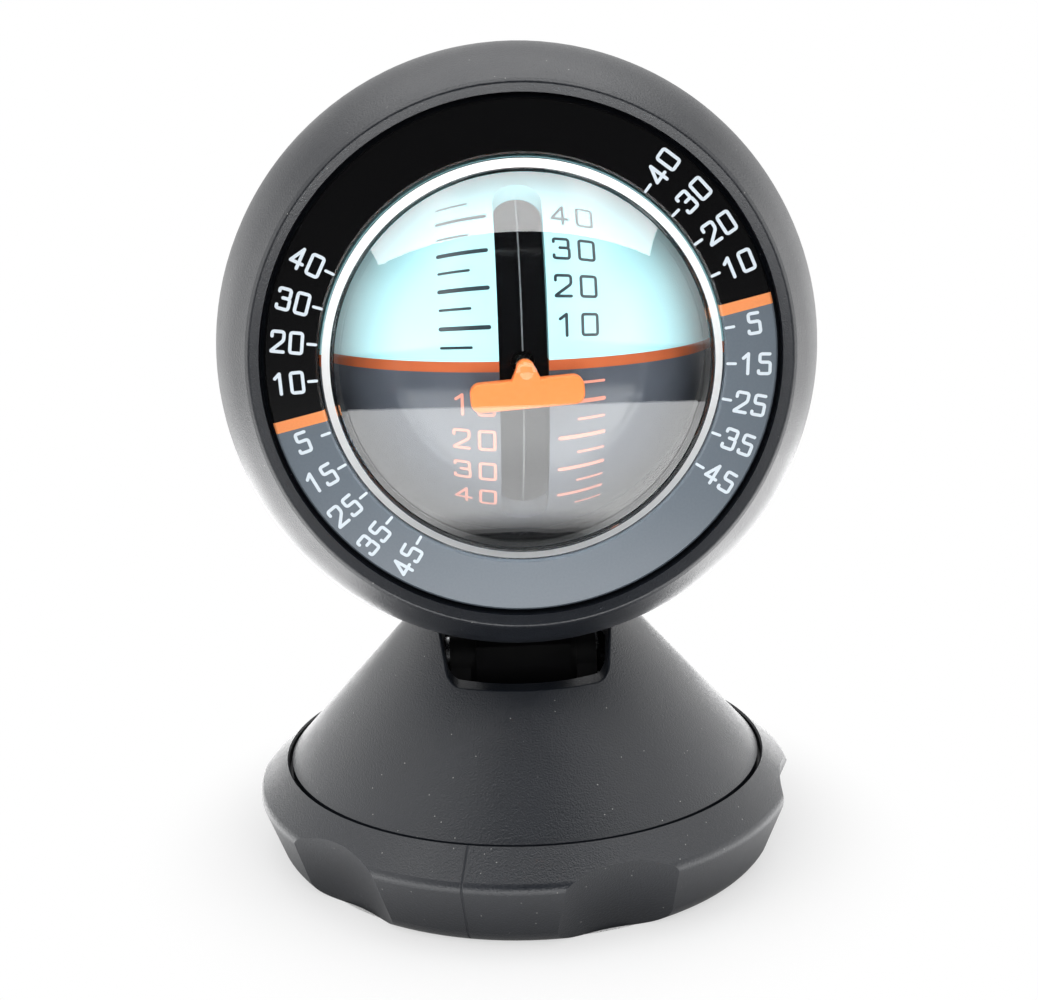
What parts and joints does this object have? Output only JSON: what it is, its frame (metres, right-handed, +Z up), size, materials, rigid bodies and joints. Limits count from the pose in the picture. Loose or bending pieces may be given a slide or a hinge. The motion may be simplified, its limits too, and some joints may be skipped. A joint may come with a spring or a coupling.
{
  "type": "inclinometer",
  "caption": "Dashboard inclinometer: a weighted ball in a round head reads pitch and roll; the head tilts on a swivelling cone over a scalloped grip ring.",
  "frame": {"origin": "centre of the underside, on the swivel axis, at the surface it stands on", "axes": "+Z up along the swivel axis; the dial faces -Y at rest; +X is to the reader's right"},
  "size_m": [0.08, 0.0796, 0.1145],
  "materials": {
    "black_case": "fine spark-eroded matt",
    "black_inner": "satin",
    "black_gloss": "polished",
    "pad_rubber": "solid rubber",
    "rubber": "smooth",
    "scale_print": "screen printed",
    "clear_lens": "clear moulded",
    "sky_blue": "moulded gloss",
    "ground_grey": "moulded gloss",
    "horizon_orange": "satin",
    "marker_orange": "satin",
    "acetal": "waxy",
    "brass": "turned",
    "steel": "plated"
  },
  "bodies": {
    "base": {"grip_ring": "black_case", "base_plate": "black_inner", "base_screws": "steel", "adhesive_pad": "pad_rubber"},
    "swivel": {"turntable": "black_inner", "swivel_glide_ring": "acetal", "cone_shell": "black_case", "cone_screws": "steel", "swivel_screw": "steel", "swivel_washer": "steel", "swivel_spring": "steel", "hinge_bolt": "steel", "hinge_nut": "steel", "hinge_friction_washers": "acetal"},
    "head": {"neck_arm": "black_inner", "neck_screws": "steel", "rear_shell": "black_case", "ball_mask": "black_inner", "mask_screws": "steel", "bezel_friction_ring": "rubber", "stem": "steel", "stem_clips": "steel", "pitch_marker": "marker_orange"},
    "bezel_group": {"bezel": "black_case", "scale_ring": "scale_print", "lens_dome": "clear_lens", "lens_seal": "rubber"},
    "gimbal": {"gimbal_hub": "acetal", "trunnion_pins": "steel", "slot_drum": "black_gloss"},
    "ball": {"ball_sky_shell": "sky_blue", "ball_ground_shell": "ground_grey", "horizon_band": "horizon_orange", "trunnion_bushes": "brass", "counterweights": "brass", "counterweight_screws": "steel"}
  },
  "joints": [
    {"name": "base_swivel", "type": "hinge", "parent": "base", "child": "swivel", "pos_m": [0, 0, 0], "axis": [0, 0, 1], "continuous": true},
    {"name": "head_tilt", "type": "hinge", "parent": "swivel", "child": "head", "pos_m": [0, 0, 0.027], "axis": [1, 0, 0], "range_deg": [-20, 8]},
    {"name": "bezel_turn", "type": "hinge", "parent": "head", "child": "bezel_group", "pos_m": [0, -0.024, 0.0744], "axis": [0, -1, 0], "continuous": true},
    {"name": "gimbal_roll", "type": "hinge", "parent": "head", "child": "gimbal", "pos_m": [0, 0.002, 0.0744], "axis": [0, -1, 0], "continuous": true},
    {"name": "ball_pitch", "type": "hinge", "parent": "gimbal", "child": "ball", "pos_m": [0, 0.002, 0.0744], "axis": [1, 0, 0], "range_deg": [-45, 45]}
  ]
}
